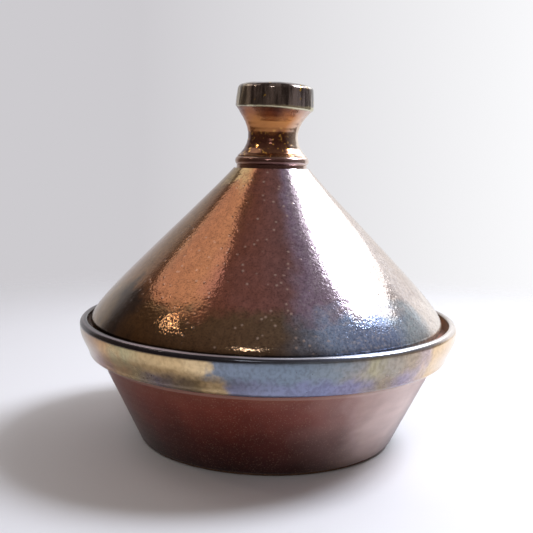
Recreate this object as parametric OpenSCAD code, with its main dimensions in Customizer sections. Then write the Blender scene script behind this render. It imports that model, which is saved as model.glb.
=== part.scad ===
// Tagine pot: a flared dish with a heavy rim collar, and a conical lid with a waisted knob.
// All pieces are turned about the Z axis. The origin is the middle of the foot, on the table.

/* [Dish] */
// Diameter over the rim collar
rim_d = 280; // [274:1:290]
// Height from the table to the top of the rim
dish_h = 91.5; // [88:0.5:96]
// Diameter of the wall at its bottom edge
base_d = 191.5; // [190:0.5:200]
// Thickness of the wall
wall_t = 7.5; // [6.5:0.5:8.5]
// Thickness of the floor
floor_t = 8; // [6:0.5:10]
// Radius of the inside corner between floor and wall
corner_r = 16; // [10:1:20]

/* [Foot] */
// Diameter of the bare standing ring
foot_d = 187; // [170:1:187]
// Width of the standing ring
foot_w = 11; // [8:1:14]
// Height of the standing ring
foot_h = 2; // [1.5:0.5:4]

/* [Rim collar] */
// Height of the collar
collar_h = 26.5; // [24:0.5:29]
// How far the collar's band leans in from top to bottom
collar_taper = 6.5; // [4:0.5:8]
// Width of the lip at the top of the collar
lip_w = 5.4; // [4:0.2:7]
// Depth of the gallery that the lid sits in
gallery_h = 9.5; // [8:0.5:12]
// Width of the ledge at the bottom of the gallery
ledge_w = 15; // [13:0.5:17]

/* [Lid] */
// Diameter of the lid at its widest
lid_d = 261; // [258:0.5:262]
// Thickness of the cone's wall
lid_t = 6.5; // [5:0.5:7.5]
// Height of the cone above the ledge
cone_h = 120; // [112:1:130]
// Diameter of the cone's flat top
cone_top_d = 56; // [55:0.5:60]
// Thickness of the shoulder that closes the cone
shoulder_t = 8; // [6:0.5:10]
// Clearance between the lid's edge and the ledge
seat_gap = 0.3; // [0.2:0.1:0.6]

/* [Knob] */
// Diameter of the ring round the foot of the neck
ring_d = 54.8; // [53:0.2:55]
// Height of the ring
ring_h = 9; // [8:0.5:11]
// Diameter of the neck at its waist
waist_d = 37; // [36:0.5:40]
// Height of the neck above the ring
neck_h = 33.3; // [30:0.5:38]
// Diameter of the cap
cap_d = 57.8; // [56:0.2:62]
// Height of the cap at its edge
cap_h = 17.4; // [15:0.2:20]
// Rise of the cap's domed top
dome_h = 1; // [0.5:0.5:3]
// Diameter of the hollow through the neck
bore_d = 24; // [20:1:25]
// Wall thickness of the hollow cap
cap_t = 7; // [6:0.5:8]

/* [Hidden] */
$fn = 180;
curve_steps = 32;
arc_steps = 8;

rim_r = rim_d / 2;
lip_r = rim_r - lip_w;
ledge_z = dish_h - gallery_h;
ledge_r = lip_r - ledge_w;
collar_z = dish_h - collar_h;
gallery_r = lip_r - 0.3;

// The wall flares in a straight line from the foot to the outer corner of the gallery.
base_r = base_d / 2;
wall_z = foot_h;
wall_slope = (gallery_r - base_r) / (ledge_z - wall_z);
wall_across = wall_t * sqrt(1 + wall_slope * wall_slope);
function wall_r(z) = base_r + wall_slope * (z - wall_z);
function inner_r(z) = wall_r(z) - wall_across;
// Height at which the thickened flange under the ledge begins.
flange_z = wall_z + (ledge_r + wall_across - base_r) / wall_slope;
floor_z = foot_h + floor_t;

lid_r = lid_d / 2;
lid_foot_z = ledge_z + seat_gap;
lid_wide_z = dish_h - 1;
lid_foot_outer_r = lid_r - 4.5;
lid_foot_inner_r = lid_r - 9.5;
cone_top_r = cone_top_d / 2;
cone_top_z = ledge_z + cone_h;
bore_r = bore_d / 2;

ring_z = cone_top_z;
neck_z = ring_z + ring_h;
cap_z = neck_z + neck_h;
tenon_r = 21;
waist_z = neck_z + 0.435 * neck_h;
cap_r = cap_d / 2;
top_z = cap_z + cap_h;

// Points of a cubic curve from a to d with handles b and c.
function curve_at(a, b, c, d, u) =
    pow(1 - u, 3) * a + 3 * u * pow(1 - u, 2) * b + 3 * u * u * (1 - u) * c + pow(u, 3) * d;
function curve(a, b, c, d) = [for (i = [0:curve_steps]) curve_at(a, b, c, d, i / curve_steps)];
// Direction of that curve, and its left-hand offset by t.
function heading(a, b, c, d, u) =
    let (v = pow(1 - u, 2) * (b - a) + 2 * u * (1 - u) * (c - b) + u * u * (d - c)) v / norm(v);
function inset_curve(a, b, c, d, t) = [
    for (i = [0:curve_steps])
        let (u = i / curve_steps, h = heading(a, b, c, d, u)) curve_at(a, b, c, d, u) + t * [h[1], -h[0]]
];
// Points of an elliptical arc about a centre, between two angles in degrees.
function arc(centre, rx, rz, from, to) = [
    for (i = [0:arc_steps]) let (a = from + (to - from) * i / arc_steps) centre + [rx * cos(a), rz * sin(a)]
];
function backwards(points) = [for (i = [len(points) - 1:-1:0]) points[i]];

// Turns a half outline of [radius, height] points into a solid.
module turned(outline) {
    rotate_extrude() polygon(outline);
}

// Floor, flared wall and the flange that carries the gallery's ledge.
module dish() {
    edge_r = 2;
    ledge_round = 1.5;
    lean = atan(wall_slope);
    edge = [wall_r(wall_z + edge_r) - edge_r / cos(lean), wall_z + edge_r];
    corner = [inner_r(floor_z + corner_r) - corner_r / cos(lean), floor_z + corner_r];
    color("#5a2a20") turned(concat(
        [[0, wall_z]],
        arc(edge, edge_r, edge_r, -90, -lean),
        [[gallery_r, ledge_z]],
        arc([ledge_r + ledge_round, ledge_z - ledge_round], ledge_round, ledge_round, 90, 180),
        [[ledge_r, flange_z]],
        arc(corner, corner_r, corner_r, -lean, -90),
        [[0, floor_z]]
    ));
}

// Bare standing ring under the dish.
module foot_ring() {
    foot_r = foot_d / 2;
    chamfer = 0.5;
    color("#6b5547") turned([
        [foot_r - foot_w + chamfer, 0],
        [foot_r - chamfer, 0],
        [foot_r, chamfer],
        [foot_r, foot_h],
        [foot_r - foot_w, foot_h],
        [foot_r - foot_w, chamfer]
    ]);
}

// Heavy band round the top of the wall. Its inside is the wall of the gallery.
module rim_collar() {
    lip_round = 1.2;
    outer_round = 4.5;
    under_round = 3.5;
    band_top = [rim_r, dish_h - outer_round];
    band_bottom = [rim_r - collar_taper, collar_z + under_round];
    color("#8f8a63") turned(concat(
        [[wall_r(collar_z), collar_z], [gallery_r, ledge_z]],
        arc([lip_r + lip_round, dish_h - lip_round], lip_round, lip_round, 180, 90),
        arc([rim_r - outer_round, dish_h - outer_round], outer_round, outer_round, 90, 0),
        curve(band_top, band_top - [0, 7], band_bottom + [3, 8], band_bottom),
        arc(band_bottom - [under_round, 0], under_round, under_round, 0, -90)
    ));
}

// Hollow cone with a rolled edge. Its shoulder is pierced for the hollow of the neck.
module lid_cone() {
    top = [cone_top_r, cone_top_z];
    top_handle = top + [27, -31];
    wide = [lid_r, lid_wide_z];
    wide_handle = wide + [0, 12.7];
    edge_h = lid_wide_z - lid_foot_z;
    shoulder_z = cone_top_z - shoulder_t;
    inside = [for (p = inset_curve(top, top_handle, wide_handle, wide, lid_t)) if (p[1] < shoulder_z) p];
    color("#6e4233") turned(concat(
        [[bore_r, cone_top_z]],
        curve(top, top_handle, wide_handle, wide),
        arc([lid_foot_outer_r, lid_wide_z], lid_r - lid_foot_outer_r, edge_h, 0, -90),
        [[lid_foot_inner_r + 1, lid_foot_z], [lid_foot_inner_r, lid_foot_z + 1]],
        backwards(inside),
        [[bore_r, shoulder_z]]
    ));
}

// Rolled ring that hides the joint between cone and neck.
module neck_ring() {
    ring_r = ring_d / 2;
    roll_r = 3.7;
    cove_h = ring_h - 2 * roll_r;
    color("#3a2520") turned(concat(
        [[tenon_r, ring_z], [ring_r - 1.2, ring_z], [ring_r - 1.2, ring_z + cove_h]],
        arc([ring_r - roll_r, ring_z + cove_h + roll_r], roll_r, roll_r, -45, 90),
        [[tenon_r, neck_z]]
    ));
}

// Hollow waisted neck. Its tenon stands inside the ring, on the cone's shoulder.
module knob_neck() {
    low = [tenon_r + 4.6, neck_z];
    waist = [waist_d / 2, waist_z];
    high = [cap_r - 1.1, cap_z];
    color("#7c4a2c") turned(concat(
        [[bore_r, ring_z], [tenon_r, ring_z], [tenon_r, neck_z]],
        curve(low, low + [-4, 3.2], waist - [0, 6], waist),
        curve(waist, waist + [0, 7.5], high - [4.8, 5.2], high),
        [[bore_r, cap_z]]
    ));
}

// Hollow cap that closes the neck.
module knob_cap() {
    under_round = 2;
    top_round = 3.5;
    inside_round = 3;
    inside_r = cap_r - cap_t;
    ceiling_z = top_z - cap_t;
    dome_r = cap_r - top_round;
    color("#3b322b") turned(concat(
        [[0, ceiling_z]],
        arc([inside_r - inside_round, ceiling_z - inside_round], inside_round, inside_round, 90, 0),
        [[inside_r, cap_z]],
        arc([cap_r - 1.1, cap_z + under_round], 1.1, under_round, -90, 0),
        arc([dome_r, top_z - top_round], top_round, top_round, 0, 80),
        [for (i = [1:arc_steps]) let (a = 90 * i / arc_steps) [dome_r * cos(a), top_z + dome_h * sin(a)]]
    ));
}

dish();
foot_ring();
rim_collar();
lid_cone();
neck_ring();
knob_neck();
knob_cap();
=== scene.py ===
from math import atan, cos, exp, hypot, pi, radians, sin
import bpy
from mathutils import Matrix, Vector


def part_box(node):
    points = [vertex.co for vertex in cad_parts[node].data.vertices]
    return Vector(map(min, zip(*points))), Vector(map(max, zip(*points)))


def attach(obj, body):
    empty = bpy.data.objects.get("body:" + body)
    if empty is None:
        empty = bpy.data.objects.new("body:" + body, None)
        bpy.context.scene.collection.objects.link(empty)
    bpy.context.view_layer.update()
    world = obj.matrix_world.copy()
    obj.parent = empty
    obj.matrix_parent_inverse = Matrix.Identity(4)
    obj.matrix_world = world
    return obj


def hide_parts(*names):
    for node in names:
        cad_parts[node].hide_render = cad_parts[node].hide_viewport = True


# A tagine of lustre-glazed stoneware, thrown on the wheel in sections and luted together.
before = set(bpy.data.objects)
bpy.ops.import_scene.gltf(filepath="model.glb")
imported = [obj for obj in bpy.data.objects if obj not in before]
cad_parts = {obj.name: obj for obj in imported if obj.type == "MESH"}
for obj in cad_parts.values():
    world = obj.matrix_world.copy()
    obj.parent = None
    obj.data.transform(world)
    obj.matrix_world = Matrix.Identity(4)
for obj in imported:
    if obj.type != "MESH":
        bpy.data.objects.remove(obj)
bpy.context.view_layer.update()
scene = bpy.context.scene
mm = 0.001


def toLinear(hexColour):
    parts = [int(hexColour[i:i + 2], 16) / 255 for i in (1, 3, 5)]
    return [c / 12.92 if c < 0.04045 else ((c + 0.055) / 1.055) ** 2.4 for c in parts] + [1]


def addNode(tree, kind, inputs=None, stops=(), **settings):
    node = tree.nodes.new("ShaderNode" + kind)
    for name, value in settings.items():
        setattr(node, name, value)
    if stops:
        elements = node.color_ramp.elements
        while len(elements) < len(stops):
            elements.new(1)
        for element, (place, hexColour) in zip(elements, stops):
            element.position = place
            element.color = toLinear(hexColour)
    for name, value in (inputs or {}).items():
        named = [s for s in node.inputs if s.enabled and s.name == name]
        socket = node.inputs[name] if isinstance(name, int) else named[0]
        if isinstance(value, bpy.types.NodeSocket):
            tree.links.new(value, socket)
        else:
            socket.default_value = toLinear(value) if isinstance(value, str) else value
    given = [s for s in node.outputs if s.enabled]
    return given[0] if given else node


# ---- camera
view = {"distance": 0.6336, "height": 0.2145, "lookDown": 7.77, "lookLeft": 0.19, "roll": 1.3, "lens": 57.2}
bpy.ops.object.camera_add(location=(0, -view["distance"], view["height"]))
camera = bpy.context.object
camera.rotation_euler = (radians(90 - view["lookDown"]), 0, radians(view["lookLeft"]))
camera.rotation_euler.rotate_axis("Z", radians(view["roll"]))
camera.data.lens = view["lens"]
camera.data.sensor_width = 36
scene.camera = camera
scene.view_settings.view_transform = "Standard"
print("camera set")

# ---- lights: a round panel with a lamp in it and a low window at the right, a dim panel and a small lamp at
# the left, and a lamp in front; turn goes from behind the pot to its right, rise from the table upwards
lights = {
    "rightPanel": {"turn": 66, "rise": 51.2, "reach": 1.22, "size": (0.84, 0.84), "spin": 0, "power": 3.9,
                   "tint": "#ffffff"},
    "rightLamp": {"turn": 75, "rise": 52, "reach": 1.15, "size": (0.44, 0.44), "spin": 0, "power": 13.3,
                  "tint": "#f0f5ff"},
    "rightWindow": {"turn": 42, "rise": 34.6, "reach": 1.16, "size": (1.0, 0.40), "spin": -19, "power": 1.9,
                    "tint": "#ffffff"},
    "leftPanel": {"turn": -74, "rise": 51.2, "reach": 1.15, "size": (0.88, 0.41), "spin": 44, "power": 1.05,
                  "tint": "#fff8f2"},
    "leftLamp": {"turn": -97.4, "rise": 43.9, "reach": 1.08, "size": (0.05, 0.05), "spin": 0, "power": 0.36,
                 "tint": "#fff0dc"},
    "frontLamp": {"turn": -168.5, "rise": 36.7, "reach": 1.69, "size": (0.32, 0.10), "spin": 0, "power": 2.2,
                  "tint": "#ffffff"},
}
potMiddle = Vector((0, 0, 0.12))
for name, lamp in lights.items():
    turn, rise = radians(lamp["turn"]), radians(lamp["rise"])
    way = Vector((sin(turn) * cos(rise), cos(turn) * cos(rise), sin(rise)))
    bpy.ops.object.light_add(type="AREA", location=potMiddle + way * lamp["reach"])
    light = bpy.context.object
    light.name = name
    light.rotation_euler = way.to_track_quat("Z", "Y").to_euler()
    light.rotation_euler.rotate_axis("Z", radians(lamp["spin"]))
    light.data.shape = "ELLIPSE"
    light.data.size, light.data.size_y = lamp["size"]
    light.data.energy = lamp["power"]
    light.data.color = toLinear(lamp["tint"])[:3]

# the room: a pale backdrop behind the pot, dim overhead and dark in front of it
room = {"overhead": "#9a8e88", "front": "#786b63", "paper": "#cdcbcf", "paperRight": "#fbfbfd",
        "paperFrom": (0.56, 0.66), "overheadFrom": (0.3, 0.9), "rightFrom": (-0.15, 0.3), "fill": 0.65}
world = bpy.data.worlds.new("room")
world.use_nodes = True
scene.world = world
tree = world.node_tree
tree.nodes.clear()
way = addNode(tree, "TexCoord").node.outputs["Generated"]
parts = addNode(tree, "SeparateXYZ", {"Vector": way}).node.outputs
low, high = room["paperFrom"]
behind = addNode(tree, "MapRange", {"Value": parts["Y"], "From Min": low, "From Max": high})
low, high = room["overheadFrom"]
above = addNode(tree, "MapRange", {"Value": parts["Z"], "From Min": low, "From Max": high})
dark = addNode(tree, "Mix", {"Factor": above, "A": room["front"], "B": room["overhead"]}, data_type="RGBA")
low, high = room["rightFrom"]
rightward = addNode(tree, "MapRange", {"Value": parts["X"], "From Min": low, "From Max": high})
seen = addNode(tree, "Mix", {"Factor": rightward, "A": room["paper"], "B": room["paperRight"]},
               data_type="RGBA")
mirrored = addNode(tree, "Mix", {"Factor": behind, "A": dark, "B": seen}, data_type="RGBA")
eye = addNode(tree, "LightPath")  # its first output is Is Camera Ray
colour = addNode(tree, "Mix", {"Factor": eye, "A": mirrored, "B": seen}, data_type="RGBA")
diffuse = eye.node.outputs["Is Diffuse Ray"]
lit = addNode(tree, "MapRange", {"Value": diffuse, "To Min": 1.0, "To Max": room["fill"]})
background = addNode(tree, "Background", {"Color": colour, "Strength": lit})
addNode(tree, "OutputWorld", {"Surface": background})

# the table: a round white sheet that melts into the backdrop
table = {"radius": 1.6, "sides": 96, "under": 0.2, "fadeFrom": 0.42, "fadeTo": 0.95, "colour": "#ebecf1"}
bpy.ops.mesh.primitive_circle_add(vertices=table["sides"], radius=table["radius"], fill_type="NGON",
                                  location=(0, 0, -table["under"] * mm))
floor = bpy.context.object
floor.name = "table"
paper = bpy.data.materials.new("whitePaperTable")
paper.use_nodes = True
tree = paper.node_tree
tree.nodes.clear()
place = addNode(tree, "TexCoord").node.outputs["Object"]
reach = addNode(tree, "VectorMath", {0: place}, operation="LENGTH").node.outputs["Value"]
gone = addNode(tree, "MapRange", {"Value": reach, "From Min": table["fadeFrom"], "From Max": table["fadeTo"]},
               interpolation_type="SMOOTHSTEP")
sheet = addNode(tree, "BsdfPrincipled", {"Base Color": table["colour"], "Roughness": 0.7})
clear = addNode(tree, "BsdfTransparent")
addNode(tree, "OutputMaterial", {"Surface": addNode(tree, "MixShader", {0: gone, 1: sheet, 2: clear})})
floor.data.materials.append(paper)
print("table and lights set")


# ---- outlines are lists of (radius, height) in millimetres, from the inside of the bottom to the top
def arc(centre, across, up, start, end, steps=8):
    angles = [radians(start + (end - start) * i / steps) for i in range(steps + 1)]
    return [(centre[0] + across * cos(a), centre[1] + up * sin(a)) for a in angles]


def curve(a, b, c, d, steps=24):
    found = []
    for i in range(steps + 1):
        u = i / steps
        weights = ((1 - u) ** 3, 3 * u * (1 - u) ** 2, 3 * u * u * (1 - u), u ** 3)
        found.append(tuple(sum(w * p[k] for w, p in zip(weights, (a, b, c, d))) for k in (0, 1)))
    return found


def line(start, end, step=2):
    count = max(1, round(hypot(end[0] - start[0], end[1] - start[1]) / step))
    return [tuple(start[k] + (end[k] - start[k]) * i / count for k in (0, 1)) for i in range(count + 1)]


def pushed(outline, depth):
    # moves each point to the right of its way along the outline, by depth(distance along it)
    moved, run = [], 0
    for i, here in enumerate(outline):
        before, after = outline[max(0, i - 1)], outline[min(len(outline) - 1, i + 1)]
        along = Vector((after[0] - before[0], after[1] - before[1])).normalized()
        run += hypot(here[0] - before[0], here[1] - before[1])
        moved.append((here[0] + along.y * depth(run), here[1] - along.x * depth(run)))
    return moved


def throwingRings(depth, pitch):
    # fingers leave rings a few millimetres apart; no two are quite alike
    return lambda run: depth * (sin(2 * pi * run / pitch) + 0.5 * sin(2 * pi * run / (pitch * 2.7) + 1))


def turnOnWheel(name, outline, steps):
    tidy = [outline[0]]
    for spot in outline[1:]:
        if hypot(spot[0] - tidy[-1][0], spot[1] - tidy[-1][1]) > 0.05:
            tidy.append(spot)
    bpy.ops.object.select_all(action="DESELECT")
    bpy.ops.mesh.primitive_plane_add(size=mm)
    piece = bpy.context.object
    piece.name = name
    bpy.ops.object.mode_set(mode="EDIT")
    bpy.ops.mesh.merge(type="CENTER")
    bpy.ops.transform.translate(value=(tidy[0][0] * mm, 0, tidy[0][1] * mm))
    for before, after in zip(tidy, tidy[1:]):
        move = ((after[0] - before[0]) * mm, 0, (after[1] - before[1]) * mm)
        bpy.ops.mesh.extrude_vertices_move(TRANSFORM_OT_translate={"value": move})
    bpy.ops.mesh.select_all(action="SELECT")
    bpy.ops.mesh.spin(steps=steps, angle=2 * pi, center=(0, 0, 0), axis=(0, 0, 1))
    bpy.ops.mesh.select_all(action="SELECT")
    bpy.ops.mesh.remove_doubles(threshold=0.01 * mm)
    bpy.ops.mesh.normals_make_consistent(inside=False)
    bpy.ops.object.mode_set(mode="OBJECT")
    return piece


def applyModifier(piece, kind, **settings):
    bpy.ops.object.select_all(action="DESELECT")
    piece.select_set(True)
    bpy.context.view_layer.objects.active = piece
    modifier = piece.modifiers.new(kind, kind)
    for name, value in settings.items():
        setattr(modifier, name, value)
    bpy.ops.object.modifier_apply(modifier=modifier.name)


def rippled(piece, size, depth):
    # uneven clay or glaze: hills that size apart, that far from lowest to highest, in millimetres
    texture = bpy.data.textures.new("ripple", "CLOUDS")
    texture.noise_scale = size * mm
    texture.noise_depth = 1
    applyModifier(piece, "DISPLACE", texture=texture, texture_coords="LOCAL", strength=depth * mm)


def smoothed(piece, angle=38):
    bpy.ops.object.select_all(action="DESELECT")
    piece.select_set(True)
    bpy.context.view_layer.objects.active = piece
    bpy.ops.object.shade_smooth_by_angle(angle=radians(angle))


def grip(piece, low, high):
    # takes hold of the part of a mesh between two heights, in edit mode
    bpy.ops.object.select_all(action="DESELECT")
    piece.select_set(True)
    bpy.context.view_layer.objects.active = piece
    bpy.ops.object.mode_set(mode="EDIT")
    bpy.ops.mesh.select_all(action="DESELECT")
    bpy.ops.object.mode_set(mode="OBJECT")
    for spot in piece.data.vertices:
        spot.select = low * mm < spot.co.z < high * mm
    bpy.ops.object.mode_set(mode="EDIT")


def tipped(angle, level, lift):
    # leans what is held to the right about a height on the axis, and lifts it
    bpy.ops.transform.rotate(value=radians(-angle), orient_axis="Y", center_override=(0, 0, level * mm))
    bpy.ops.transform.translate(value=(0, 0, lift * mm))
    bpy.ops.object.mode_set(mode="OBJECT")


def inMillimetres(node):
    low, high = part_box(node)
    return high.x / mm, low.z / mm, high.z / mm


# ---- dish
dishR, dishZ, ledgeZ = inMillimetres("dish")
collarR, collarZ, rimZ = inMillimetres("rim_collar")
dish = {"baseR": 95.8, "edge": 2.2, "wall": 8.3, "floor": 8, "corner": 16, "ledgeR": 119.5, "ledgeRound": 1.8,
        "flange": 69, "ridge": 0.7, "ridgeWide": 0.9, "ridgeDown": 3, "dent": 78, "outsideRings": (0.02, 6.5),
        "insideRings": (0.28, 8.5), "steps": 320, "warp": (60, 0.5), "ripple": (9, 0.05)}
flare = (dishR - dish["baseR"]) / (ledgeZ - dishZ)
lean = atan(flare)
floorZ = dishZ + dish["floor"]
edge, corner = dish["edge"], dish["corner"]


def wallAt(z):
    return dish["baseR"] + flare * (z - dishZ)


cornerZ = floorZ + corner
cornerR = wallAt(cornerZ) - dish["wall"] - corner / cos(lean)
edgeR = wallAt(dishZ + edge) - edge / cos(lean)
outside = line((edgeR + edge * cos(lean), dishZ + edge - edge * sin(lean)), (dishR, ledgeZ), 0.9)
crestZ = collarZ - dish["ridgeDown"]
outside = [(r + dish["ridge"] * exp(-((z - crestZ) / dish["ridgeWide"]) ** 2), z) for r, z in outside]
cornerStart = (cornerR + corner * cos(lean), cornerZ - corner * sin(lean))
inside = line((dish["ledgeR"], dish["flange"]), cornerStart, 1.8)
inside += arc((cornerR, cornerZ), corner, corner, -45, -90, 9)
inside += line((cornerR, floorZ), (6, floorZ), 1.8)
dishOutline = line((0, dishZ + 0.3), (dish["dent"], dishZ), 6)
dishOutline += arc((edgeR, dishZ + edge), edge, edge, -90, -25, 5)
dishOutline += pushed(outside, throwingRings(*dish["outsideRings"]))
dishOutline += line((dishR - 1, ledgeZ), (dish["ledgeR"] + 2, ledgeZ))
r = dish["ledgeRound"]
dishOutline += arc((dish["ledgeR"] + r, ledgeZ - r), r, r, 90, 180, 5)
dishOutline += pushed(inside, throwingRings(*dish["insideRings"]))
dishOutline += [(3, floorZ + 0.5), (0, floorZ + 0.7)]
dishPiece = turnOnWheel("dishBody", dishOutline, dish["steps"])
rippled(dishPiece, *dish["warp"])
rippled(dishPiece, *dish["ripple"])
print("dish thrown")

# ---- foot ring
footR, footZ, footTop = inMillimetres("foot_ring")
foot = {"width": 11, "round": 0.8, "steps": 256}
footIn = footR - foot["width"]
r = foot["round"]
footOutline = line((footIn, footTop + 0.2), (footIn, footZ + r), 1)
footOutline += arc((footIn + r, footZ + r), r, r, 180, 270, 4)
footOutline += line((footIn + r, footZ), (footR - r, footZ), 1)
footOutline += arc((footR - r, footZ + r), r, r, 270, 360, 4)
footOutline += [(footR, footTop + 0.2), (footIn, footTop + 0.2)]
footPiece = turnOnWheel("footRing", footOutline, foot["steps"])
print("foot turned")

# ---- rim collar
collar = {"lip": 5.4, "lipRound": 1.3, "outerRound": 3.4, "underRound": 3.2, "taper": 6.5, "belly": 0.5,
          "rings": (0.012, 5), "steps": 384, "warp": (45, 0.5), "ripple": (8, 0.07)}
lipR = collarR - collar["lip"]
rimRound, underRound, lipRound = collar["outerRound"], collar["underRound"], collar["lipRound"]
bandTop = (collarR, rimZ - rimRound)
bandBottom = (collarR - collar["taper"], collarZ + underRound)
bandBelly = (collarR + collar["belly"] / 2, rimZ - 12)
bandSide = curve(bandTop, bandBelly, (bandBottom[0] + 3, bandBottom[1] + 8), bandBottom, 16)
collarOutline = line((wallAt(collarZ) - 0.6, collarZ - 0.1), (dishR - 0.6, ledgeZ - 0.6), 2)
collarOutline += line((dishR - 0.2, ledgeZ - 0.3), (lipR, rimZ - lipRound), 1.5)
collarOutline += arc((lipR + lipRound, rimZ - lipRound), lipRound, lipRound, 180, 90, 5)
collarOutline += arc((collarR - rimRound, rimZ - rimRound), rimRound, rimRound, 90, 0, 9)
collarOutline += pushed(bandSide, throwingRings(*collar["rings"]))
collarOutline += arc((bandBottom[0] - underRound, bandBottom[1]), underRound, underRound, 0, -90, 6)
collarOutline += [(wallAt(collarZ) + 1.2, collarZ - 0.15), (wallAt(collarZ) - 0.6, collarZ - 0.1)]
collarPiece = turnOnWheel("rimCollar", collarOutline, collar["steps"])
rippled(collarPiece, *collar["warp"])
rippled(collarPiece, *collar["ripple"])
print("collar turned")

# ---- lid cone
lidR, lidZ, shoulderZ = inMillimetres("lid_cone")
lid = {"wide": 8.2, "footOuter": 4.5, "footInner": 9.5, "footBevel": 1.2, "wall": 6.5, "topR": 28,
       "topHandle": (27, -31), "wideHandle": 12.7, "shoulder": 8, "holeR": 12, "outsideRings": (0.01, 7.5),
       "insideRings": (0.3, 9), "steps": 400, "warp": (70, 0.7), "ripple": (9, 0.05)}
wide = (lidR, lidZ + lid["wide"])
top = (lid["topR"], shoulderZ)
handles = (lidR, wide[1] + lid["wideHandle"]), (top[0] + lid["topHandle"][0], top[1] + lid["topHandle"][1])
skirt = curve(wide, *handles, top, 104)
underShoulder = shoulderZ - lid["shoulder"]
lining = [p for p in pushed(skirt, lambda run: -lid["wall"]) if p[1] < underShoulder]
footIn = lidR - lid["footInner"]
lidOutline = [(footIn, lidZ + lid["footBevel"]), (footIn + lid["footBevel"], lidZ)]
lidOutline += arc((lidR - lid["footOuter"], wide[1]), lid["footOuter"], lid["wide"], -90, 0, 9)
lidOutline += pushed(skirt, throwingRings(*lid["outsideRings"]))
lidOutline += line(top, (lid["holeR"], shoulderZ), 3)
lidOutline += line((lid["holeR"], shoulderZ), (lid["holeR"], underShoulder))
lidOutline += pushed(lining[::-1], throwingRings(*lid["insideRings"])) + [lidOutline[0]]
lidPiece = turnOnWheel("lidCone", lidOutline, lid["steps"])
rippled(lidPiece, *lid["warp"])
rippled(lidPiece, *lid["ripple"])
print("lid thrown")

# ---- ring round the foot of the neck
ringR, ringZ, ringTop = inMillimetres("neck_ring")
ring = {"roll": 3.7, "cove": 1.3, "innerR": 20.6, "steps": 192, "ripple": (14, 0.35)}
roll = ring["roll"]
coveTop = ringTop - 2 * roll
ringOutline = line((ring["innerR"], ringZ - 0.3), (ringR - ring["cove"], ringZ - 0.3), 2)
ringOutline += [(ringR - ring["cove"], coveTop)]
ringOutline += arc((ringR - roll, coveTop + roll), roll, roll, -50, 90, 12)
ringOutline += line((ringR - roll, ringTop), (ring["innerR"], ringTop - 0.1), 2)
ringOutline += [(ring["innerR"], ringZ - 0.3)]
ringPiece = turnOnWheel("neckRing", ringOutline, ring["steps"])
rippled(ringPiece, *ring["ripple"])
print("ring turned")

# ---- neck of the knob
neckR, neckZ, neckTop = inMillimetres("knob_neck")
neck = {"footR": 25.6, "waistR": 18.5, "waistUp": 0.435, "boreR": 12, "tenonR": 21, "rings": (0.06, 4),
        "follow": (10, 7, 4, 1), "steps": 192, "ripple": (16, 0.4)}
waist = (neck["waistR"], ringTop + neck["waistUp"] * (neckTop - ringTop))
low, high = (neck["footR"], ringTop), (neckR, neckTop)
waistLine = curve(low, (low[0] - 4, low[1] + 3.2), (waist[0], waist[1] - 6), waist, 20)
waistLine += curve(waist, (waist[0], waist[1] + 7.5), (high[0] - 4.8, high[1] - 5.2), high, 24)[1:]
neckOutline = line((neck["boreR"], neckZ), (neck["tenonR"], neckZ), 3)
neckOutline += line((neck["tenonR"], neckZ), (neck["tenonR"], ringTop - 0.3), 3)
neckOutline += [(low[0], ringTop - 0.3)] + pushed(waistLine, throwingRings(*neck["rings"]))
neckOutline += line((neckR, neckTop), (neck["boreR"], neckTop), 3)
neckOutline += line((neck["boreR"], neckTop), (neck["boreR"], neckZ), 4)
neckPiece = turnOnWheel("knobNeck", neckOutline, neck["steps"])
rippled(neckPiece, *neck["ripple"])

# ---- cap of the knob
capR, capZ, capTop = inMillimetres("knob_cap")
cap = {"wall": 7, "lipRound": 1.3, "underRound": 1.8, "topRound": 4, "inRound": 3, "taper": 1, "dome": 1.6,
       "steps": 192, "ripple": (18, 0.7), "tilt": 1.1, "hang": 1.7}
capIn = capR - cap["wall"]
ceiling = capTop - cap["dome"] - cap["wall"]
shoulder = capTop - cap["dome"]
r, lip = cap["inRound"], cap["lipRound"]
capOutline = [(0, ceiling)] + line((4, ceiling), (capIn - r, ceiling), 3)
capOutline += arc((capIn - r, ceiling - r), r, r, 90, 0, 4) + line((capIn, ceiling - r), (capIn, capZ), 3)
capOutline += line((capIn, capZ), (capR - lip, capZ), 2)
capOutline += arc((capR - lip, capZ + cap["underRound"]), lip, cap["underRound"], -90, 0, 5)
r = cap["topRound"]
domeR = capR - cap["taper"] - r
capOutline += line((capR, capZ + cap["underRound"]), (capR - cap["taper"], shoulder - r), 1.2)
capOutline += arc((domeR, shoulder - r), r, r, 0, 85, 7)
capOutline += [(domeR * cos(radians(a)), shoulder + cap["dome"] * sin(radians(a))) for a in range(15, 91, 5)]
capPiece = turnOnWheel("knobCap", capOutline, cap["steps"])
rippled(capPiece, *cap["ripple"])

# the cap was pressed on askew, its lower edge a little more than its top, and the clay of the neck gave way
aboveAll = 300
grip(capPiece, 0, capZ + 4)
tipped(cap["hang"], capZ, -0.8)
grip(capPiece, 0, aboveAll)
tipped(cap["tilt"], capZ, 1.3)
share = 1 / len(neck["follow"])
for depth in neck["follow"]:
    grip(neckPiece, neckTop - depth, aboveAll)
    tipped((cap["hang"] + cap["tilt"]) * share, neckTop, 0.5 * share)
print("knob made")

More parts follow.
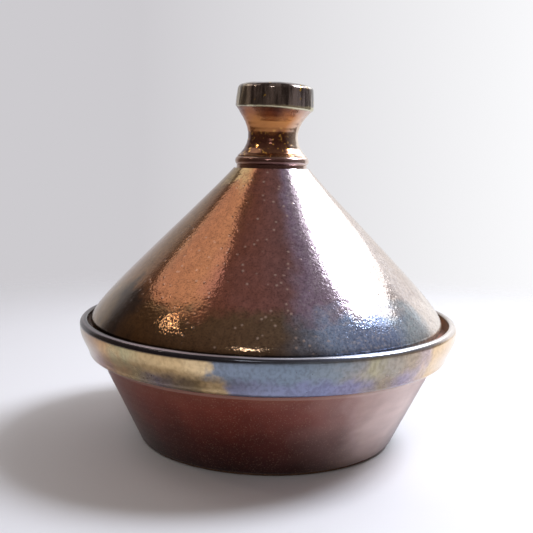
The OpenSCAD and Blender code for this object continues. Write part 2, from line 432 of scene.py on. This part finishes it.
# a hand-thrown lid stands a little askew: its skirt sits left of the dish's middle and its knob right of it
bpy.ops.object.add(type="LATTICE")
lattice = bpy.context.object
askew = {"atFoot": -1.3, "atRing": 0.1, "atCap": 1.6, "cage": 400}
lattice.data.points_u = lattice.data.points_v = 2
lattice.data.points_w = 3
for axis in "uvw":
    setattr(lattice.data, f"interpolation_type_{axis}", "KEY_LINEAR")
lowZ, highZ = lidZ - 1, 2 * ringTop - lidZ + 1
lattice.scale = (askew["cage"] * mm, askew["cage"] * mm, (highZ - lowZ) * mm)
lattice.location = (0, 0, (lowZ + highZ) / 2 * mm)
slope = (askew["atCap"] - askew["atRing"]) / (capTop - ringTop)
for spot in lattice.data.points:
    level = round(spot.co.z + 0.5, 1)
    shift = {0: askew["atFoot"], 0.5: askew["atRing"], 1: askew["atRing"] + slope * (highZ - ringTop)}[level]
    spot.co_deform.x += shift / askew["cage"]
for piece in (lidPiece, ringPiece, neckPiece, capPiece):
    applyModifier(piece, "LATTICE", object=lattice)
bpy.ops.object.select_all(action="DESELECT")
lattice.select_set(True)
bpy.ops.object.delete()
for piece in (dishPiece, footPiece, collarPiece, lidPiece, ringPiece, neckPiece, capPiece):
    smoothed(piece)
print("lid set askew")


# ---- glazes: places round the pot run from 0 at its back, over 0.5 in front, to 1 at its back again
def glaze(name):
    material = bpy.data.materials.new(name)
    material.use_nodes = True
    tree = material.node_tree
    tree.nodes.clear()
    place = addNode(tree, "TexCoord").node.outputs["Object"]
    return material, tree, place


def perMillimetre(size):
    return 1 / (size * mm)


def byDegrees(stops):
    # colours round the pot, by degrees from its front towards its right
    return [((degrees + 180) / 360, hexColour) for degrees, hexColour in stops]


def aroundPot(tree, place, wander, size):
    # the place round the pot and the height; wander blurs and bends the borders
    parts = addNode(tree, "SeparateXYZ", {"Vector": place}).node.outputs
    toFront = addNode(tree, "Math", {0: parts["Y"], 1: -1.0}, operation="MULTIPLY")
    angle = addNode(tree, "Math", {0: parts["X"], 1: toFront}, operation="ARCTAN2")
    turn = addNode(tree, "MapRange", {"Value": angle, "From Min": -pi, "From Max": pi})
    noise = addNode(tree, "TexNoise", {"Vector": place, "Scale": perMillimetre(size), "Detail": 4.0})
    shift = addNode(tree, "MapRange", {"Value": noise, "To Min": -wander, "To Max": wander})
    return addNode(tree, "Math", {0: turn, 1: shift}, operation="ADD"), parts["Z"]


def fromAxis(tree, place):
    flat = addNode(tree, "Mapping", {"Vector": place, "Scale": (1, 1, 0)})
    return addNode(tree, "VectorMath", {0: flat}, operation="LENGTH").node.outputs["Value"]


def facingOut(tree, place):
    # 1 on the outside of a thrown wall and 0 on its inside
    normal = addNode(tree, "TexCoord").node.outputs["Normal"]
    flat = addNode(tree, "Mapping", {"Vector": place, "Scale": (1, 1, 0)})
    facing = addNode(tree, "VectorMath", {0: normal, 1: flat}, operation="DOT_PRODUCT").node.outputs["Value"]
    return addNode(tree, "MapRange", {"Value": facing, "From Min": -0.002, "From Max": 0.002})


def unevenLevel(tree, place, height, size, detail, far):
    # the height, moved by up to so many millimetres, so that a border across the pot runs unevenly
    noise = addNode(tree, "TexNoise", {"Vector": place, "Scale": perMillimetre(size), "Detail": detail})
    drift = addNode(tree, "MapRange", {"Value": noise, "From Min": 0.2, "From Max": 0.8,
                                       "To Min": -far * mm, "To Max": far * mm})
    return addNode(tree, "Math", {0: height, 1: drift}, operation="ADD")


def patches(tree, place, size, detail, low, high, stretch=None):
    # cloudy patches that many millimetres across; stretch below 1 draws them out along that axis
    if stretch:
        place = addNode(tree, "Mapping", {"Vector": place, "Scale": stretch})
    noise = addNode(tree, "TexNoise", {"Vector": place, "Scale": perMillimetre(size), "Detail": detail})
    return addNode(tree, "MapRange", {"Value": noise, "From Min": low, "From Max": high})


def tinted(tree, film, colour, mask, strength, blend="MIX"):
    # lays a colour over the film where the mask is, at most that strongly
    share = addNode(tree, "Math", {0: mask, 1: strength}, operation="MULTIPLY")
    return addNode(tree, "Mix", {"Factor": share, "A": film, "B": colour}, data_type="RGBA", blend_type=blend)


def relief(tree, place, size, detail, depth, mask=None, under=None):
    # a skin that rises and falls, so many millimetres from hill to hill and so many deep
    rise = addNode(tree, "TexNoise", {"Vector": place, "Scale": perMillimetre(size), "Detail": detail})
    if mask:
        rise = addNode(tree, "Math", {0: rise, 1: mask}, operation="MULTIPLY")
    sockets = {"Height": rise, "Strength": 1.0, "Distance": depth * mm}
    if under:
        sockets["Normal"] = under
    return addNode(tree, "Bump", sockets)


# Copper lustre over a dark stoneware glaze: a metal film that the kiln left copper, violet or blue in
# places, glossy, with an orange-peel surface, streaks where the glaze ran, and pale pinhead blisters. Its
# film is painted paler towards both sides, standing in for the backdrop's reflection, and near white at
# the right, with pale flecks, as painted glare from the lamp.
# Streaks, specks and clusters are (millimetres across, detail, where the noise starts to count, where it is
# full), drift is (millimetres across, detail, millimetres moved), and peel is (across, detail, deep).
lustre = {"borders": (0.03, 26), "drift": (16, 5.0, 10), "blueBelow": (117, 108), "dropSide": (0.39, 0.35),
          "drop": -9, "oliveAbove": (187, 193), "oliveSide": (0.44, 0.40), "streaks": (3.2, 4.0, 0.3, 0.7),
          "drawnOut": (1, 1, 0.1), "streakShare": 0.32, "speckle": (1.1, 1.0, 0.52, 0.66),
          "speckleShare": 0.4, "flecks": (2.0, 3.0, 0.5, 0.68), "flecksFrom": (0.52, 0.58),
          "flecksTo": (0.74, 0.66), "fleckShare": 0.4, "roughness": 0.09}
blisters = {"apart": 5.5, "edge": (0.23, 0.1), "clusters": (38, 2.0, 0.38, 0.56), "front": (0.51, 0.06),
            "aside": 0.15, "inFront": 0.5, "depth": 0.06}
silver = {"from": (0.515, 0.56), "to": (0.82, 0.7), "copperMetal": 0.85, "silverMetal": 0.6,
          "liningMetal": 0.25}
skin = {"swell": (5, 2.0, 0.06), "pebble": (1.4, 1.0, 0.12), "pebbleBelow": (118, 104),
        "peel": (1.9, 2.0, 0.085)}
# painted light: the paler stops towards both sides stand in for the backdrop's reflection, the near-white
# stops at the right for the lamp's glare
lidStops = byDegrees([(-180, "#7a4e3c"), (-110, "#94704e"), (-85, "#b89470"), (-62, "#9a7650"),
                      (-42, "#9e6644"), (-26, "#a87250"), (-16, "#a06858"), (-5, "#a4726a"), (8, "#9a7474"),
                      (16, "#a08ca4"), (26, "#b0a4b0"), (42, "#e4dad6"), (64, "#e4d6cc"), (80, "#c8b09c"),
                      (105, "#a87e60"), (180, "#7a4e3c")])
skirtStops = byDegrees([(-180, "#6a5540"), (-95, "#bc9c6c"), (-70, "#a0845c"), (-60, "#4c3c2c"),
                        (-50, "#46342a"), (-43, "#70502f"), (-32, "#70543a"), (-12, "#80664e"),
                        (3, "#84705c"), (11, "#7c7c84"), (21, "#a0b6d8"), (32, "#94a6cc"), (42, "#9eb2d8"),
                        (50, "#c4d4dc"), (56, "#d0d8dc"), (60, "#f4e8dc"), (74, "#fff2e4"), (92, "#b89c7c"),
                        (180, "#6a5540")])
lustreGlaze, tree, place = glaze("copperLustreGlaze")
turn, height = aroundPot(tree, place, *lustre["borders"])
upper = addNode(tree, "ValToRGB", {"Fac": turn}, stops=lidStops)
lower = addNode(tree, "ValToRGB", {"Fac": turn}, stops=skirtStops)
level = unevenLevel(tree, place, height, *lustre["drift"])
start, end = lustre["dropSide"]
drop = addNode(tree, "MapRange", {"Value": turn, "From Min": start, "From Max": end,
                                  "To Min": 0, "To Max": lustre["drop"] * mm})
dropped = addNode(tree, "Math", {0: level, 1: drop}, operation="ADD")
high, low = lustre["blueBelow"]
under = addNode(tree, "MapRange", {"Value": dropped, "From Min": high * mm, "From Max": low * mm})
film = addNode(tree, "Mix", {"Factor": under, "A": upper, "B": lower}, data_type="RGBA")
start, end = lustre["oliveSide"]
leftSide = addNode(tree, "MapRange", {"Value": turn, "From Min": start, "From Max": end})
low, high = lustre["oliveAbove"]
over = addNode(tree, "MapRange", {"Value": level, "From Min": low * mm, "From Max": high * mm})
olive = addNode(tree, "Math", {0: over, 1: leftSide}, operation="MULTIPLY")
film = addNode(tree, "Mix", {"Factor": olive, "A": film, "B": "#b89c70"}, data_type="RGBA")
streaks = patches(tree, place, *lustre["streaks"], stretch=lustre["drawnOut"])
film = tinted(tree, film, "#4a3028", streaks, lustre["streakShare"], "MULTIPLY")
speckle = patches(tree, place, *lustre["speckle"])
film = tinted(tree, film, "#5a4a5c", speckle, lustre["speckleShare"], "MULTIPLY")
# pale flecks painted over the right of the lid, part of the lamp's painted glare
flecks = patches(tree, place, *lustre["flecks"])
start, end = lustre["flecksFrom"]
begins = addNode(tree, "MapRange", {"Value": turn, "From Min": start, "From Max": end,
                                    "To Min": 0.0, "To Max": lustre["fleckShare"]})
start, end = lustre["flecksTo"]
ends = addNode(tree, "MapRange", {"Value": turn, "From Min": start, "From Max": end})
paintedGlareZone = addNode(tree, "Math", {0: begins, 1: ends}, operation="MULTIPLY")
film = tinted(tree, film, "#f0ecf0", flecks, paintedGlareZone)
cells = addNode(tree, "TexVoronoi", {"Vector": place, "Scale": perMillimetre(blisters["apart"])}).node.outputs
chance = addNode(tree, "SeparateColor", {"Color": cells["Color"]})
clusters = patches(tree, place, *blisters["clusters"])
chosen = addNode(tree, "Math", {0: chance, 1: clusters}, operation="LESS_THAN")
start, end = blisters["edge"]
spot = addNode(tree, "MapRange", {"Value": cells["Distance"], "From Min": start, "From Max": end})
blister = addNode(tree, "Math", {0: spot, 1: chosen}, operation="MULTIPLY")
middle, reach = blisters["front"]
inFront = addNode(tree, "Math", {0: turn, 1: middle, 2: reach}, operation="COMPARE")
shown = addNode(tree, "MapRange", {"Value": inFront, "To Min": blisters["aside"],
                                   "To Max": blisters["inFront"]})
film = tinted(tree, film, "#e0ccc2", blister, shown)
start, end = silver["from"]
begins = addNode(tree, "MapRange", {"Value": turn, "From Min": start, "From Max": end})
start, end = silver["to"]
ends = addNode(tree, "MapRange", {"Value": turn, "From Min": start, "From Max": end})
toRight = addNode(tree, "Math", {0: begins, 1: ends}, operation="MULTIPLY")
outer = facingOut(tree, place)
film = addNode(tree, "Mix", {"Factor": outer, "A": "#4a3026", "B": film}, data_type="RGBA")
shine = addNode(tree, "MapRange", {"Value": toRight, "To Min": silver["copperMetal"],
                                   "To Max": silver["silverMetal"]})
bare = addNode(tree, "MapRange", {"Value": outer, "To Min": silver["liningMetal"], "To Max": 1.0})
metal = addNode(tree, "Math", {0: shine, 1: bare}, operation="MULTIPLY")
high, low = skin["pebbleBelow"]
pebbly = addNode(tree, "MapRange", {"Value": height, "From Min": high * mm, "From Max": low * mm})
bump = relief(tree, place, *skin["swell"])
bump = relief(tree, place, *skin["pebble"], mask=pebbly, under=bump)
bump = relief(tree, place, *skin["peel"], under=bump)
bump = addNode(tree, "Bump", {"Height": blister, "Strength": 1.0, "Distance": blisters["depth"] * mm,
                              "Normal": bump})
shader = addNode(tree, "BsdfPrincipled", {"Base Color": film, "Normal": bump, "Metallic": metal,
                                          "Roughness": lustre["roughness"]})
addNode(tree, "OutputMaterial", {"Surface": shader})

# The same lustre on the neck, fired to copper gold under the cap and dark brown with gold specks below.
gold = {"borders": (0.03, 12), "drift": (7, 4.0, 4), "from": 208, "to": 246, "specks": (2.4, 1.0, 0.62, 0.68),
        "specksBelow": (231, 226), "highlightSide": (0.585, 0.68), "highlightFades": (228, 236), "highlightAbove": 0.45,
        "peel": (2.6, 3.0, 0.08), "metallic": 0.85, "roughness": 0.14}
goldStops = [(0, "#a87c5c"), (0.16, "#74503c"), (0.36, "#5c382e"), (0.47, "#6a4230"), (0.55, "#a87044"),
             (0.72, "#b47844"), (0.86, "#9a6444"), (1, "#866052")]
neckGlaze, tree, place = glaze("goldLustreGlaze")
turn, height = aroundPot(tree, place, *gold["borders"])
level = unevenLevel(tree, place, height, *gold["drift"])
rise = addNode(tree, "MapRange", {"Value": level, "From Min": gold["from"] * mm, "From Max": gold["to"] * mm})
film = addNode(tree, "ValToRGB", {"Fac": rise}, stops=goldStops)
high, low = gold["specksBelow"]
under = addNode(tree, "MapRange", {"Value": level, "From Min": high * mm, "From Max": low * mm})
specks = patches(tree, place, *gold["specks"])
film = tinted(tree, film, "#e0b060", specks, under)
# painted highlight: a pale tint over the right of the neck, strongest low down, stands in for the lamp's
# highlight
start, end = gold["highlightSide"]
rightSide = addNode(tree, "MapRange", {"Value": turn, "From Min": start, "From Max": end})
low, high = gold["highlightFades"]
fading = addNode(tree, "MapRange", {"Value": level, "From Min": low * mm, "From Max": high * mm,
                                    "To Min": 1.0, "To Max": gold["highlightAbove"]})
film = tinted(tree, film, "#e8d8c8", rightSide, fading)
bump = relief(tree, place, *gold["peel"])
shader = addNode(tree, "BsdfPrincipled", {"Base Color": film, "Normal": bump, "Metallic": gold["metallic"],
                                          "Roughness": gold["roughness"]})
addNode(tree, "OutputMaterial", {"Surface": shader})

# The same lustre on the collar, thicker and smoother: straw gold at the left, steel blue and lavender in
# front, khaki and peach at the right, going black over the rim, with a painted highlight line along the
# rim's crown and the rim painted pale at the right as the lamp's highlight.
band = {"borders": (0.018, 11), "drift": (9, 4.0, 4), "middle": (78.5, 72.5),
        "mottle": (2.4, 8.0, 0.42, 0.62), "drawnOut": (1, 1, 0.8), "mottleShare": 0.28, "rim": (87.1, 88.3),
        "rimSide": (0.47, 0.53), "rimDrop": -1.7, "crown": 137.9, "crownHighlightWide": 0.7, "pinhole": 3.4,
        "pinholeEdge": (0.09, 0.05), "chosen": 0.4, "peel": (4.5, 2.0, 0.035), "metallic": 0.7,
        "roughness": 0.2}
collarTops = byDegrees([(-180, "#a8925c"), (-110, "#b09a8c"), (-75, "#bdb098"), (-57, "#bc9c80"),
                        (-50, "#d8ac78"), (-43, "#ccc498"), (-36, "#dcc090"), (-26, "#e8c894"),
                        (-16.5, "#f8dcac"), (-14, "#8894a6"), (6, "#8290a0"), (18, "#8a949c"),
                        (25, "#a49e98"), (30, "#b8b090"), (35, "#aca498"), (42, "#b8a690"), (48, "#c8b4b0"),
                        (53, "#f0cfa0"), (70, "#f2d8b8"), (95, "#c4a878"), (180, "#a8925c")])
collarFeet = byDegrees([(-180, "#987c58"), (-110, "#a88c80"), (-75, "#b5ae95"), (-55, "#a88078"),
                        (-46, "#c8a478"), (-38, "#b8a680"), (-31, "#8c8088"), (-25, "#8c7a68"),
                        (-17, "#947e5c"), (-13, "#d8ba88"), (-9, "#8888a0"), (0, "#8c92ac"), (14, "#888cac"),
                        (24, "#908ca8"), (33, "#a09078"), (40, "#a094a8"), (47, "#c0b0b4"), (53, "#f0cfa0"),
                        (73, "#f2e0c8"), (98, "#b0946a"), (180, "#987c58")])
# painted light: the rim goes pale towards the right as the lamp's painted highlight
rimStops = byDegrees([(-180, "#4a4038"), (-90, "#4a4240"), (-40, "#2e282c"), (-18, "#302e34"),
                      (0, "#3c3e46"), (22, "#6a7080"), (45, "#8a8c94"), (62, "#e0d4cc"), (80, "#e4dcd4"),
                      (120, "#7a6c60"), (180, "#4a4038")])
# a painted highlight line along the rim's crown
crownHighlightStops = byDegrees([(-180, "#6a5a50"), (-90, "#5a5050"), (-58, "#7c7072"), (-30, "#a89a9e"),
                        (-12, "#a09498"), (2, "#c0c4d4"), (40, "#f4f4fc"), (75, "#e4dcd4"), (110, "#7a6c60"),
                        (180, "#6a5a50")])
rimGlaze, tree, place = glaze("strawLustreGlaze")
turn, height = aroundPot(tree, place, *band["borders"])
tops = addNode(tree, "ValToRGB", {"Fac": turn}, stops=collarTops)
feet = addNode(tree, "ValToRGB", {"Fac": turn}, stops=collarFeet)
level = unevenLevel(tree, place, height, *band["drift"])
high, low = band["middle"]
under = addNode(tree, "MapRange", {"Value": level, "From Min": high * mm, "From Max": low * mm})
film = addNode(tree, "Mix", {"Factor": under, "A": tops, "B": feet}, data_type="RGBA")
mottle = patches(tree, place, *band["mottle"], stretch=band["drawnOut"])
film = tinted(tree, film, "#7c7468", mottle, band["mottleShare"], "MULTIPLY")
rims = addNode(tree, "ValToRGB", {"Fac": turn}, stops=rimStops)
crownHighlights = addNode(tree, "ValToRGB", {"Fac": turn}, stops=crownHighlightStops)
crown = addNode(tree, "Math", {0: fromAxis(tree, place), 1: band["crown"] * mm, 2: band["crownHighlightWide"] * mm},
                operation="COMPARE")
rims = addNode(tree, "Mix", {"Factor": crown, "A": rims, "B": crownHighlights}, data_type="RGBA")
start, end = band["rimSide"]
drop = addNode(tree, "MapRange", {"Value": turn, "From Min": start, "From Max": end,
                                  "To Min": 0, "To Max": band["rimDrop"] * mm})
dropped = addNode(tree, "Math", {0: height, 1: drop}, operation="ADD")
low, high = band["rim"]
overRim = addNode(tree, "MapRange", {"Value": dropped, "From Min": low * mm, "From Max": high * mm})
film = addNode(tree, "Mix", {"Factor": overRim, "A": film, "B": rims}, data_type="RGBA")
cells = addNode(tree, "TexVoronoi", {"Vector": place, "Scale": perMillimetre(band["pinhole"])}).node.outputs
chance = addNode(tree, "SeparateColor", {"Color": cells["Color"]})
chosen = addNode(tree, "Math", {0: chance, 1: band["chosen"]}, operation="LESS_THAN")
start, end = band["pinholeEdge"]
spot = addNode(tree, "MapRange", {"Value": cells["Distance"], "From Min": start, "From Max": end})
film = tinted(tree, film, "#2a2018", spot, chosen)
bump = relief(tree, place, *band["peel"])
shader = addNode(tree, "BsdfPrincipled", {"Base Color": film, "Normal": bump, "Metallic": band["metallic"],
                                          "Roughness": band["roughness"]})
addNode(tree, "OutputMaterial", {"Surface": shader})

# Iron-red glaze on the dish: maroon, darker towards the foot, with fine pale specks, and painted pale at the
# right of its outside as a painted sheen: the bright floor's reflection and the lamp's glare.
red = {"borders": (0.03, 30), "drift": (22, 3.0, 9), "top": 66, "outside": (6, 4), "glareFrom": (2, 38),
       "glareFoot": 0.3, "runs": (6, 5.0, 0.35, 0.7), "runDown": (0.25, 0.25, 1), "runShare": 0.12,
       "crest": 1.0, "crestShare": 0.3, "specks": (1.0, 1.0, 0.6, 0.7), "speckShare": 0.2,
       "peel": (3, 2.0, 0.02), "roughness": 0.33, "specular": 0.35}
redStops = [(0, "#2c0c0a"), (0.4, "#50180f"), (0.75, "#7c3628"), (1, "#8e4e3c")]
# painted light: pale at the right of the outside, the floor's reflection and the lamp's glare
paintedGlareStops = byDegrees([(-180, "#000000"), (-10, "#000000"), (10, "#303030"), (24, "#7c7c7c"), (40, "#e8e8e8"),
                       (54, "#ffffff"), (72, "#888888"), (95, "#000000"), (180, "#000000")])
redGlaze, tree, place = glaze("ironRedGlaze")
turn, height = aroundPot(tree, place, *red["borders"])
level = unevenLevel(tree, place, height, *red["drift"])
rise = addNode(tree, "MapRange", {"Value": level, "From Min": 0.0, "From Max": red["top"] * mm})
body = addNode(tree, "ValToRGB", {"Fac": rise}, stops=redStops)
pale = addNode(tree, "ValToRGB", {"Fac": turn}, stops=paintedGlareStops)
flared = addNode(tree, "Math", {0: height, 1: flare}, operation="MULTIPLY")
slant = addNode(tree, "Math", {0: fromAxis(tree, place), 1: flared}, operation="SUBTRACT")
start, end = [(dish["baseR"] - depth) * mm for depth in red["outside"]]
onOutside = addNode(tree, "MapRange", {"Value": slant, "From Min": start, "From Max": end})
pale = addNode(tree, "Math", {0: pale, 1: onOutside}, operation="MULTIPLY")
low, high = red["glareFrom"]
rise = addNode(tree, "MapRange", {"Value": height, "From Min": low * mm, "From Max": high * mm,
                                  "To Min": red["glareFoot"]})
body = tinted(tree, body, "#ecd2ca", pale, rise)
runs = patches(tree, place, *red["runs"], stretch=red["runDown"])
body = tinted(tree, body, "#6a3c34", runs, red["runShare"], "MULTIPLY")
# a pale line painted along the ridge under the collar, as its painted highlight
crest = addNode(tree, "Math", {0: height, 1: crestZ * mm, 2: red["crest"] * mm}, operation="COMPARE")
body = tinted(tree, body, "#c8a898", crest, red["crestShare"])
specks = patches(tree, place, *red["specks"])
body = tinted(tree, body, "#c8a48c", specks, red["speckShare"])
bump = relief(tree, place, *red["peel"])
shader = addNode(tree, "BsdfPrincipled", {"Base Color": body, "Normal": bump, "Roughness": red["roughness"],
                                          "Specular IOR Level": red["specular"]})
addNode(tree, "OutputMaterial", {"Surface": shader})

# Dark lustre on the cap: black olive, with a pale bead where the glaze gathered; its dark vertical streaks
# are painted reflections of facets and its paler sides a painted reflection of the backdrop.
dark = {"borders": (0.02, 9), "streaks": (4, 3.0, 0.38, 0.6), "drawnOut": (1, 1, 0.1), "streakShare": 0.8,
        "flakes": (6, 4.0, 0.66, 0.7), "beadDrift": (4, 3.0, 0.8), "beadTop": (247.2, 246),
        "beadFoot": (240, 241), "beadShare": 0.8, "peel": (4, 2.0, 0.05), "metallic": 0.8, "roughness": 0.14}
# painted reflection: the paler stops at the sides stand in for the backdrop's reflection
darkStops = byDegrees([(-180, "#6a5a4c"), (-90, "#ccc2ac"), (-54, "#d4c8b0"), (-36, "#8c7e76"),
                       (16, "#8c807a"), (30, "#a89c98"), (46, "#a09696"), (70, "#b4aca4"), (120, "#8a7c6c"),
                       (180, "#6a5a4c")])
darkGlaze, tree, place = glaze("darkLustreGlaze")
turn, height = aroundPot(tree, place, *dark["borders"])
film = addNode(tree, "ValToRGB", {"Fac": turn}, stops=darkStops)
# dark vertical streaks painted in as reflections of facets
streaks = patches(tree, place, *dark["streaks"], stretch=dark["drawnOut"])
film = tinted(tree, film, "#382c2a", streaks, dark["streakShare"], "MULTIPLY")
flakes = patches(tree, place, *dark["flakes"])
film = addNode(tree, "Mix", {"Factor": flakes, "A": film, "B": "#d8b04c"}, data_type="RGBA")
level = unevenLevel(tree, place, height, *dark["beadDrift"])
high, low = dark["beadTop"]
under = addNode(tree, "MapRange", {"Value": level, "From Min": high * mm, "From Max": low * mm})
low, high = dark["beadFoot"]
over = addNode(tree, "MapRange", {"Value": height, "From Min": low * mm, "From Max": high * mm})
bead = addNode(tree, "Math", {0: under, 1: over}, operation="MULTIPLY")
film = tinted(tree, film, "#cfc8a8", bead, dark["beadShare"])
bump = relief(tree, place, *dark["peel"])
shader = addNode(tree, "BsdfPrincipled", {"Base Color": film, "Normal": bump, "Metallic": dark["metallic"],
                                          "Roughness": dark["roughness"]})
addNode(tree, "OutputMaterial", {"Surface": shader})

# Copper-brown lustre on the ring, with a painted highlight on its crown.
brown = {"borders": (0.03, 8), "crown": 2, "crownHighlightShare": 0.5, "peel": (3, 2.0, 0.06),
         "metallic": 0.8, "roughness": 0.15}
ringStops = byDegrees([(-180, "#6a4a3c"), (-80, "#b89c84"), (-55, "#8a6450"), (-30, "#5e4038"),
                       (15, "#70504c"), (35, "#a88c8c"), (75, "#d8c4b8"), (120, "#8a6a58"),
                       (180, "#6a4a3c")])
ringGlaze, tree, place = glaze("brownLustreGlaze")
turn, height = aroundPot(tree, place, *brown["borders"])
film = addNode(tree, "ValToRGB", {"Fac": turn}, stops=ringStops)
# painted highlight along the ring's crown
low, high = ringTop - brown["crown"], ringTop
crown = addNode(tree, "MapRange", {"Value": height, "From Min": low * mm, "From Max": high * mm})
film = tinted(tree, film, "#d8c0a8", crown, brown["crownHighlightShare"])
bump = relief(tree, place, *brown["peel"])
shader = addNode(tree, "BsdfPrincipled", {"Base Color": film, "Normal": bump, "Metallic": brown["metallic"],
                                          "Roughness": brown["roughness"]})
addNode(tree, "OutputMaterial", {"Surface": shader})

# Bare stoneware on the foot.
clay = {"grain": 1.5, "depth": 0.2, "roughness": 0.85}
bareClay, tree, place = glaze("bareStoneware")
grain = addNode(tree, "TexNoise", {"Vector": place, "Scale": perMillimetre(clay["grain"]), "Detail": 4.0})
body = addNode(tree, "ValToRGB", {"Fac": grain}, stops=[(0.3, "#5a4436"), (0.7, "#8a6c56")])
bump = addNode(tree, "Bump", {"Height": grain, "Strength": 0.5, "Distance": clay["depth"] * mm})
shader = addNode(tree, "BsdfPrincipled", {"Base Color": body, "Roughness": clay["roughness"], "Normal": bump})
addNode(tree, "OutputMaterial", {"Surface": shader})

pieces = [
    (dishPiece, redGlaze, "dish", "dish", "copper_red_glaze"),
    (footPiece, bareClay, "dish", "foot_ring", "bare_stoneware"),
    (collarPiece, rimGlaze, "dish", "rim_collar", "lustre_glaze"),
    (lidPiece, lustreGlaze, "lid", "lid_cone", "lustre_glaze"),
    (ringPiece, ringGlaze, "lid", "neck_ring", "dark_lustre_glaze"),
    (neckPiece, neckGlaze, "lid", "knob_neck", "lustre_glaze"),
    (capPiece, darkGlaze, "lid", "knob_cap", "dark_lustre_glaze"),
]
for piece, material, body, node, slot in pieces:
    piece.data.materials.append(material)
    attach(piece, body)
    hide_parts(node)
print("pieces glazed and placed")
